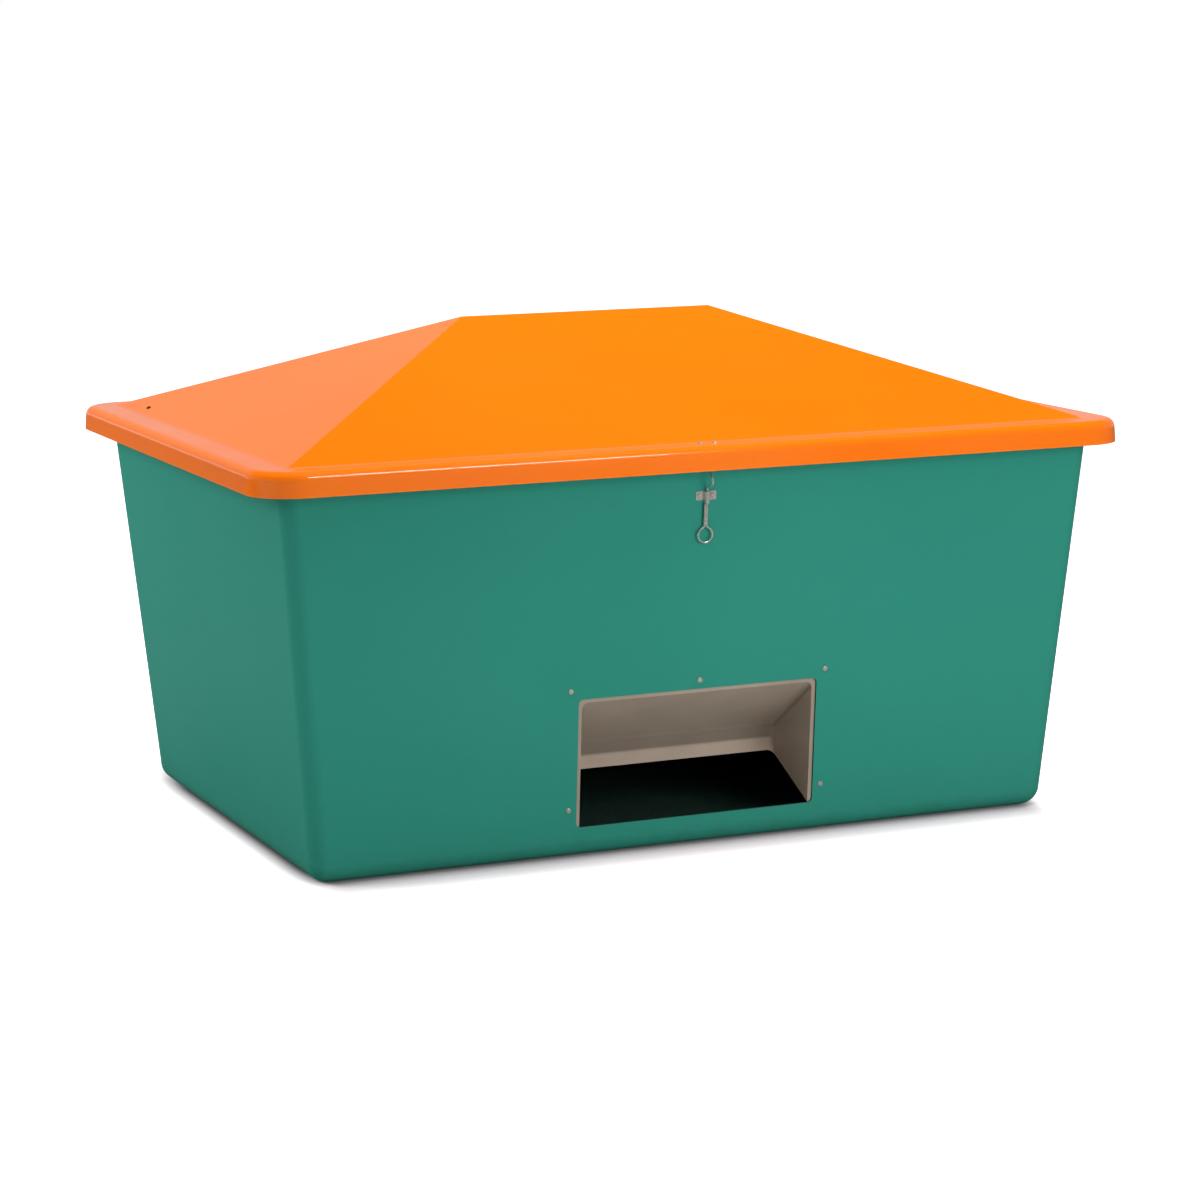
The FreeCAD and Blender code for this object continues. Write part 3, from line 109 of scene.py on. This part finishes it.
def span(tree, value, low, high, toLow=0.0, toHigh=1.0, soft=False):
    node = tree.nodes.new("ShaderNodeMapRange")
    node.interpolation_type = "SMOOTHSTEP" if soft else "LINEAR"
    node.clamp = True
    for socket, number in (("From Min", low), ("From Max", high), ("To Min", toLow), ("To Max", toHigh)):
        node.inputs[socket].default_value = number
    tree.links.new(value, node.inputs["Value"])
    return node.outputs["Result"]


def calc(tree, operation, first, second=0.0):
    node = tree.nodes.new("ShaderNodeMath")
    node.operation = operation
    fill(tree, node.inputs[0], first)
    fill(tree, node.inputs[1], second)
    return node.outputs["Value"]


def plus(tree, first, second):
    return calc(tree, "ADD", first, second)


def times(tree, first, second):
    return calc(tree, "MULTIPLY", first, second)


def mixColour(tree, factor, first, second, blend="MIX"):
    node = tree.nodes.new("ShaderNodeMix")
    node.data_type = "RGBA"  # its inputs are 6 and 7, its result is 2
    node.blend_type = blend
    fill(tree, node.inputs["Factor"], factor)
    fill(tree, node.inputs[6], first)
    fill(tree, node.inputs[7], second)
    return node.outputs[2]


def mixNumber(tree, factor, first, second):
    node = tree.nodes.new("ShaderNodeMix")
    node.data_type = "FLOAT"  # its inputs are 2 and 3, its result is 0
    fill(tree, node.inputs["Factor"], factor)
    fill(tree, node.inputs[2], first)
    fill(tree, node.inputs[3], second)
    return node.outputs[0]


def addBump(tree, surface, height, strength, distance):
    node = tree.nodes.new("ShaderNodeBump")
    node.inputs["Strength"].default_value = strength
    node.inputs["Distance"].default_value = distance
    tree.links.new(height, node.inputs["Height"])
    tree.links.new(node.outputs["Normal"], surface.inputs["Normal"])


def facingOut(tree, middle, limit):
    # 1 on faces that look away from the middle of a hollow piece, 0 on its inner faces
    fromMiddle = tree.nodes.new("ShaderNodeVectorMath")
    fromMiddle.operation = "SUBTRACT"
    fromMiddle.inputs[1].default_value = middle
    tree.links.new(coordinate(tree, "Object"), fromMiddle.inputs[0])
    dot = tree.nodes.new("ShaderNodeVectorMath")
    dot.operation = "DOT_PRODUCT"
    tree.links.new(coordinate(tree, "Normal"), dot.inputs[0])
    tree.links.new(fromMiddle.outputs["Vector"], dot.inputs[1])
    return calc(tree, "GREATER_THAN", dot.outputs["Value"], limit)


def giveTo(mat, *names):
    for name in names:
        mesh = nodes[name].data
        mesh.materials.clear()
        mesh.materials.append(mat)


# Gel-coat of the tub and the lid, with plain laminate on their inner faces.
# A noise is given as scale, detail, roughness and twist, a cut as the limits of a span.

tub = {
    "gelcoat": (0.033, 0.282, 0.211),
    "gelcoatLight": (0.037, 0.294, 0.221),
    "laminate": (0.030, 0.068, 0.056),
    "laminateLight": (0.058, 0.110, 0.090),
    "dustAndFootTone": (0.045, 0.085, 0.066),
    "gloss": 0.30,
    "shine": 0.02,
    "middle": (0.0, 0.0, 0.47),
    "limit": 0.0,
    "darkFootTop": 0.10,
}
lid = {
    "gelcoat": (1.0, 0.182, 0.003),
    "gelcoatLight": (1.0, 0.194, 0.004),
    "laminate": (0.62, 0.20, 0.050),
    "laminateLight": (0.80, 0.33, 0.110),
    "dustAndFootTone": (0.30, 0.12, 0.045),
    "gloss": 0.07,
    "shine": 0.40,
    "middle": (0.0, 0.0, 0.85),
    "limit": -0.06,
    "darkFootTop": 0.0,
}
coat = {
    "drift": (1.7, 2.0, 0.45),
    "mottle": (95.0, 4.0, 0.6),
    "mottleShare": 0.25,
    "tintCut": (0.42, 0.85),
    "wipeStretch": (0.6, 0.6, 2.2),
    "wipeTurn": (0.0, 0.35, 0.2),
    "wipe": (3.0, 4.0, 0.5, 0.6),
    "wipeCut": (0.45, 0.75),
    "specks": (420.0, 2.0, 0.5),
    "speckCut": (0.70, 0.78),
    "patches": (6.0, 5.0, 0.6),
    "patchCut": (0.45, 0.70),
    "dust": 0.05,
    "darkFoot": (23.0, 6.0, 0.65),
    "darkFootCut": (0.35, 0.75),
    "darkFootShare": 0.22,
    "wipeDulling": 0.04,
    "driftDulling": 0.05,
    "wave": (2.6, 1.0, 0.4),
    "peel": (330.0, 1.0, 0.5),
    "peelShare": 0.012,
    "bump": (0.35, 0.012),
}
laminate = {
    "strandTurn": (0.3, 0.2, 0.4),
    "strandScale": 85.0,
    "strandCut": (0.0, 0.012, 0.45, 0.0),
    "streakStretch": (9.0, 1.0, 9.0),
    "streakTurn": (0.4, 0.5, 0.8),
    "streak": (26.0, 3.0, 0.6, 1.2),
    "streakCut": (0.45, 0.65, 0.0, 0.6),
    "roughness": 0.62,
    "strandHeight": 0.10,
}


def gelcoatMaterial(name, look):
    mat, tree, surface = newShader(name)
    place = placeOnPiece(tree)
    outside = facingOut(tree, look["middle"], look["limit"])

    # pigment drifts a little over the panel, with a fine mottle in it
    drift = noise(tree, place, *coat["drift"])
    mottle = noise(tree, place, *coat["mottle"])
    tint = span(tree, plus(tree, drift, times(tree, mottle, coat["mottleShare"])), *coat["tintCut"])
    paint = mixColour(tree, tint, look["gelcoat"], look["gelcoatLight"])

    # thin wipe marks and dust, and broken patches that darken the tub towards its foot
    wipe = noise(tree, placeOnPiece(tree, coat["wipeStretch"], coat["wipeTurn"]), *coat["wipe"])
    wiped = span(tree, wipe, *coat["wipeCut"], soft=True)
    specks = span(tree, noise(tree, place, *coat["specks"]), *coat["speckCut"])
    patchy = span(tree, noise(tree, place, *coat["patches"]), *coat["patchCut"])
    dustAndDarkFoot = times(tree, specks, times(tree, patchy, coat["dust"]))
    # the tub is made darker towards its foot, in broken patches
    if look["darkFootTop"] > 0:
        height = axesOf(tree, coordinate(tree, "Object"))["Z"]
        darkFoot = span(tree, height, 0.0, look["darkFootTop"], 1.0, 0.0, soft=True)
        broken = span(tree, noise(tree, place, *coat["darkFoot"]), *coat["darkFootCut"])
        dustAndDarkFoot = plus(tree, dustAndDarkFoot, times(tree, times(tree, darkFoot, broken), coat["darkFootShare"]))
    paint = mixColour(tree, dustAndDarkFoot, paint, look["dustAndFootTone"])

    # glass strands under a thin coat on the inner faces
    turned = placeOnPiece(tree, turn=laminate["strandTurn"])
    edges = cells(tree, turned, laminate["strandScale"], "DISTANCE_TO_EDGE")
    streaked = placeOnPiece(tree, laminate["streakStretch"], laminate["streakTurn"])
    streaks = noise(tree, streaked, *laminate["streak"])
    strands = span(tree, edges, *laminate["strandCut"])
    strands = plus(tree, strands, span(tree, streaks, *laminate["streakCut"]))
    weave = mixColour(tree, strands, look["laminate"], look["laminateLight"])
    tree.links.new(mixColour(tree, outside, weave, paint), surface.inputs["Base Color"])

    dulled = plus(tree, times(tree, wiped, coat["wipeDulling"]), look["gloss"])
    dulled = plus(tree, dulled, times(tree, drift, coat["driftDulling"]))
    tree.links.new(mixNumber(tree, outside, laminate["roughness"], dulled), surface.inputs["Roughness"])

    # mould waviness, faint orange peel, and rough strands inside
    wavy = noise(tree, place, *coat["wave"])
    peel = noise(tree, place, *coat["peel"])
    skin = plus(tree, wavy, times(tree, peel, coat["peelShare"]))
    relief = mixNumber(tree, outside, times(tree, strands, laminate["strandHeight"]), skin)
    addBump(tree, surface, relief, *coat["bump"])
    surface.inputs["Specular IOR Level"].default_value = look["shine"]
    return mat


giveTo(gelcoatMaterial("greenGelcoat", tub), "container")
giveTo(gelcoatMaterial("orangeGelcoat", lid), "lid")
print("gel-coat on the tub and the lid")


# Plain laminate of the chute hood

hood = {
    "shade": (0.300, 0.235, 0.182),
    "pale": (0.415, 0.335, 0.270),
    "strand": (0.42, 0.37, 0.31),
    "clouds": (5.0, 4.0, 0.55),
    "cloudCut": (0.3, 0.75, 0.1, 0.8),
    "grain": (140.0, 3.0, 0.6),
    "grainShare": 0.15,
    "strandTurn": (0.5, 0.1, 0.3),
    "strandScale": 120.0,
    "strandCut": (0.0, 0.02, 1.0, 0.0),
    "strandShare": 0.10,
    "roughCut": (0.3, 0.7, 0.39, 0.55),
    "strandHeight": 0.25,
    "cloudHeight": 3.0,
    "bump": (0.25, 0.0012),
    # the last two entries paint light and shade on the hood by which way each face looks
    "panelFacing": -0.37,
    "paintedLightCut": (0.0, 0.45, 0.81, 1.38),
}


def hoodMaterial():
    mat, tree, surface = newShader("hoodLaminate")
    place = placeOnPiece(tree)
    cloud = noise(tree, place, *hood["clouds"])
    grain = noise(tree, place, *hood["grain"])
    turned = placeOnPiece(tree, turn=hood["strandTurn"])
    strands = span(tree, cells(tree, turned, hood["strandScale"], "DISTANCE_TO_EDGE"), *hood["strandCut"])
    blend = plus(tree, span(tree, cloud, *hood["cloudCut"]), times(tree, grain, hood["grainShare"]))
    colour = mixColour(tree, blend, hood["shade"], hood["pale"])
    colour = mixColour(tree, times(tree, strands, hood["strandShare"]), colour, hood["strand"])

    # painted light and shade: the colour is darkened on the leaning panel and lightened on the ceiling, lip
    # and sides, by which way each face looks
    facing = axesOf(tree, coordinate(tree, "Normal"))["Z"]
    offPanel = calc(tree, "ABSOLUTE", calc(tree, "SUBTRACT", facing, hood["panelFacing"]))
    level = span(tree, offPanel, *hood["paintedLightCut"], soft=True)
    paintedLightGrey = tree.nodes.new("ShaderNodeCombineColor")
    for socket in paintedLightGrey.inputs[:3]:
        tree.links.new(level, socket)
    colour = mixColour(tree, 1.0, colour, paintedLightGrey.outputs["Color"], "MULTIPLY")
    tree.links.new(colour, surface.inputs["Base Color"])

    tree.links.new(span(tree, grain, *hood["roughCut"]), surface.inputs["Roughness"])
    relief = plus(tree, times(tree, strands, hood["strandHeight"]),
                  plus(tree, grain, times(tree, cloud, hood["cloudHeight"])))
    addBump(tree, surface, relief, *hood["bump"])
    return mat


giveTo(hoodMaterial(), "chute_hood")
print("laminate on the hood")


# Metals: name, two colours, roughness, metallic, stretch and scale of the brushing,
# strength of its lines, and the nodes that have it.

metals = (
    ("stainlessSheet", (0.60, 0.55, 0.50), (0.94, 0.88, 0.82), 0.30, 0.80, (1.0, 1.0, 26.0), 60.0, 0.35,
     ("latch_bracket", "lid_catch", "hinge_body_leaf_left", "hinge_body_leaf_right",
      "hinge_lid_leaf_left", "hinge_lid_leaf_right", "hinge_body_washers", "chute_hood_washers")),
    ("stainlessWire", (0.66, 0.60, 0.55), (0.94, 0.88, 0.82), 0.25, 0.80, (9.0, 9.0, 1.0), 90.0, 0.25,
     ("latch_hook",)),
    ("rivetMetal", (0.62, 0.55, 0.50), (0.96, 0.89, 0.83), 0.28, 0.80, (1.0, 1.0, 1.0), 320.0, 0.25,
     ("chute_hood_rivets", "latch_bracket_rivets", "lid_catch_rivets", "hinge_pin_left", "hinge_pin_right",
      "hinge_body_bolts", "hinge_body_nuts", "hinge_lid_rivets")),
    ("zincSheet", (0.34, 0.35, 0.36), (0.58, 0.59, 0.60), 0.38, 0.80, (1.0, 1.0, 1.0), 70.0, 0.20,
     ("stay_arm_left", "stay_arm_right", "stay_lid_bracket_left", "stay_lid_bracket_right",
      "stay_guide_bracket_left", "stay_guide_bracket_right", "stay_pivot_pins", "stay_guide_pins",
      "stay_lid_nuts")),
    ("darkBolt", (0.018, 0.018, 0.020), (0.050, 0.048, 0.046), 0.42, 0.55, (1.0, 1.0, 1.0), 420.0, 0.25,
     ("stay_lid_bolts",)),
)
wear = {
    "brush": (5.0, 0.65),
    "brushShare": 0.55,
    "clouds": (34.0, 4.0, 0.6),
    "cloudShare": 0.45,
    "handling": (150.0, 5.0, 0.6),
    "handlingCut": (0.50, 0.75),
    "handlingShare": 0.25,
    "handlingDulling": 0.10,
    "spangleScale": 160.0,
    "spangleBase": 0.6,
    "spangleShare": 0.35,
    "colourCut": (0.30, 0.70),
    "roughCut": (0.3, 0.7),
    "smoother": 0.06,
    "rougher": 0.10,
    "lineHeight": 0.00012,
}


def metalMaterial(name, shade, pale, roughness, metallic, stretch, scale, lines):
    mat, tree, surface = newShader(name)
    place = placeOnPiece(tree)
    brushed = noise(tree, placeOnPiece(tree, stretch), scale, *wear["brush"])
    clouds = noise(tree, place, *wear["clouds"])
    handling = span(tree, noise(tree, place, *wear["handling"]), *wear["handlingCut"], soft=True)
    blend = plus(tree, times(tree, brushed, wear["brushShare"]), times(tree, clouds, wear["cloudShare"]))
    if name == "zincSheet":
        spangle = cells(tree, place, wear["spangleScale"], "F1", "Color")
        spangle = times(tree, spangle, wear["spangleShare"])
        blend = plus(tree, times(tree, blend, wear["spangleBase"]), spangle)
    colour = mixColour(tree, span(tree, blend, *wear["colourCut"]), shade, pale)
    colour = mixColour(tree, times(tree, handling, wear["handlingShare"]), colour, shade)
    tree.links.new(colour, surface.inputs["Base Color"])
    surface.inputs["Metallic"].default_value = metallic
    rough = span(tree, brushed, *wear["roughCut"], roughness - wear["smoother"], roughness + wear["rougher"])
    rough = plus(tree, rough, times(tree, handling, wear["handlingDulling"]))
    tree.links.new(rough, surface.inputs["Roughness"])
    addBump(tree, surface, brushed, lines, wear["lineHeight"])
    return mat


for *look, wearers in metals:
    giveTo(metalMaterial(*look), *wearers)
print("metals on the fittings")


# Floor, backdrop and light

studio = {
    "floorSize": 60.0,
    "floorRoughness": 0.9,
    "floorSeen": (0.98, 0.87, 0.92),
    "floorBounce": (0.50, 0.50, 0.50),
    "floorMirrored": (0.22, 0.22, 0.22),
    "footprint": (0.906, 0.60),
    "cornerRound": 0.20,
    "endFade": 4.0,
    # a painted contact shadow along the bin's foot: its colour, and the span over which it fades into the
    # floor
    "paintedContactShadow": (0.03, 0.028, 0.03),
    "paintedShadowCut": (-0.055, 0.045),
    "liftCut": (0.0, 0.23, 0.04, 1.0),
    "mirroredLift": 0.06,
    "skyStrength": 0.32,
    "wallCut": (0.0, 0.16, 0.80, 0.34),
    "ceilingCut": (0.38, 0.62, 1.0, 0.03),
    "frontCut": (-0.70, -0.20, 0.62, 1.0),
    "white": (1.0, 1.0, 1.0, 1.0),
    "lamps": (
        # name, place, aim, size, watts, only a highlight on glossy edges
        ("overhead", (0.4, -0.3, 4.6), (0.2, 0.0, 0.9), (3.6, 3.6), 200.0, False),
        ("key", (0.7, -3.6, 1.3), (0.3, -0.65, 0.74), (1.6, 1.6), 45.5, False),
        ("leftFill", (-5.0, 1.6, 2.5), (-0.9, 0.2, 0.70), (2.4, 2.4), 122.0, False),
        ("strip", (1.0, -3.95, 3.8), (1.0, -0.745, 0.925), (1.7, 0.44), 88.0, True),
    ),
}


def awayFromFoot(tree):
    # distance outward from the bin's foot, shortened at its ends and rounded at its corners
    axes = axesOf(tree, coordinate(tree, "Object"))
    beside = calc(tree, "SUBTRACT", calc(tree, "ABSOLUTE", axes["X"]), studio["footprint"][0])
    beside = times(tree, beside, studio["endFade"])
    ahead = calc(tree, "SUBTRACT", calc(tree, "ABSOLUTE", axes["Y"]), studio["footprint"][1])
    squares = []
    for run in (beside, ahead):
        run = calc(tree, "MAXIMUM", plus(tree, run, studio["cornerRound"]), 0.0)
        squares.append(times(tree, run, run))
    reach = calc(tree, "SQRT", plus(tree, *squares))
    return calc(tree, "SUBTRACT", reach, studio["cornerRound"])


def makeFloor():
    shape = bmesh.new()
    bmesh.ops.create_grid(shape, x_segments=1, y_segments=1, size=studio["floorSize"] / 2)
    mesh = bpy.data.meshes.new("studioFloor")
    shape.to_mesh(mesh)
    shape.free()
    floor = bpy.data.objects.new("studioFloor", mesh)
    bpy.context.scene.collection.objects.link(floor)
    mat, tree, surface = newShader("paleFloor")
    surface.inputs["Roughness"].default_value = studio["floorRoughness"]
    surface.inputs["Specular IOR Level"].default_value = 0.0
    path = tree.nodes.new("ShaderNodeLightPath")

    # a camera sees a pale floor with a painted contact shadow, darkest along the foot, while the light that
    # it throws back is plainer
    away = awayFromFoot(tree)
    beyond = span(tree, away, *studio["paintedShadowCut"], soft=True)
    pale = mixColour(tree, beyond, studio["paintedContactShadow"], studio["floorSeen"])
    unseen = mixColour(tree, path.outputs["Is Glossy Ray"], studio["floorBounce"], studio["floorMirrored"])
    colour = mixColour(tree, path.outputs["Is Camera Ray"], unseen, pale)
    tree.links.new(colour, surface.inputs["Base Color"])

    # past the shadow at the bin's foot the floor runs into the white background
    lift = span(tree, away, *studio["liftCut"], soft=True)
    mirrored = times(tree, path.outputs["Is Glossy Ray"], studio["mirroredLift"])
    seen = calc(tree, "MAXIMUM", path.outputs["Is Camera Ray"], mirrored)
    glow = tree.nodes.new("ShaderNodeEmission")
    glow.inputs["Color"].default_value = studio["white"]
    tree.links.new(times(tree, seen, lift), glow.inputs["Strength"])
    both = tree.nodes.new("ShaderNodeAddShader")
    tree.links.new(surface.outputs["BSDF"], both.inputs[0])
    tree.links.new(glow.outputs["Emission"], both.inputs[1])
    out = next(node for node in tree.nodes if node.type == "OUTPUT_MATERIAL")
    tree.links.new(both.outputs["Shader"], out.inputs["Surface"])
    mesh.materials.append(mat)


def makeWorld():
    world = bpy.data.worlds.new("studioWorld")
    world.use_nodes = True
    tree = world.node_tree
    tree.nodes.clear()
    path = tree.nodes.new("ShaderNodeLightPath")
    axes = axesOf(tree, coordinate(tree, "Generated"))

    # reflections see a white wall that fades into a dimmer ceiling, and less of it in front
    mirrored = times(tree, span(tree, axes["Z"], *studio["wallCut"], soft=True),
                     span(tree, axes["Z"], *studio["ceilingCut"], soft=True))
    mirrored = times(tree, mirrored, span(tree, axes["Y"], *studio["frontCut"], soft=True))
    sharp = calc(tree, "MAXIMUM", path.outputs["Is Glossy Ray"], path.outputs["Is Transmission Ray"])
    level = mixNumber(tree, sharp, studio["skyStrength"], mirrored)
    level = mixNumber(tree, path.outputs["Is Camera Ray"], level, 1.0)
    background = tree.nodes.new("ShaderNodeBackground")
    background.inputs["Color"].default_value = studio["white"]
    tree.links.new(level, background.inputs["Strength"])
    out = tree.nodes.new("ShaderNodeOutputWorld")
    tree.links.new(background.outputs["Background"], out.inputs["Surface"])
    bpy.context.scene.world = world


def makeLamps():
    for name, place, aim, size, watts, highlight in studio["lamps"]:
        lamp = bpy.data.lights.new(name, "AREA")
        lamp.shape = "RECTANGLE"
        lamp.size, lamp.size_y = size
        lamp.energy = watts
        holder = bpy.data.objects.new(name, lamp)
        holder.location = place
        holder.rotation_euler = (Vector(aim) - Vector(place)).to_track_quat("-Z", "Y").to_euler()
        holder.visible_glossy = highlight
        holder.visible_diffuse = not highlight
        bpy.context.scene.collection.objects.link(holder)


makeFloor()
makeWorld()
makeLamps()
bpy.context.scene.view_settings.view_transform = "Standard"
print("floor, backdrop and lamps")


# Camera: a level direction, tilted down, with a slight roll

shot = {
    "place": (-3.23386, -7.58400, 1.90439),
    "yaw": 0.40624416,
    "pitch": 0.17165549,
    "roll": -0.00894043,
    "lens": 103.2258,
    "sensor": 36.0,
}


def makeCamera():
    yaw, pitch, roll = shot["yaw"], shot["pitch"], shot["roll"]
    back = Vector((-math.sin(yaw) * math.cos(pitch), -math.cos(yaw) * math.cos(pitch), math.sin(pitch)))
    level = Vector((math.cos(yaw), -math.sin(yaw), 0.0))
    upward = back.cross(level).normalized()
    right = level * math.cos(roll) + upward * math.sin(roll)
    top = upward * math.cos(roll) - level * math.sin(roll)
    data = bpy.data.cameras.new("photoCamera")
    data.sensor_fit = "HORIZONTAL"
    data.sensor_width = shot["sensor"]
    data.lens = shot["lens"]
    camera = bpy.data.objects.new("photoCamera", data)
    turn = Matrix((right, top, back)).transposed().to_4x4()
    camera.matrix_world = Matrix.Translation(shot["place"]) @ turn
    bpy.context.scene.collection.objects.link(camera)
    bpy.context.scene.camera = camera


makeCamera()
print("camera set")
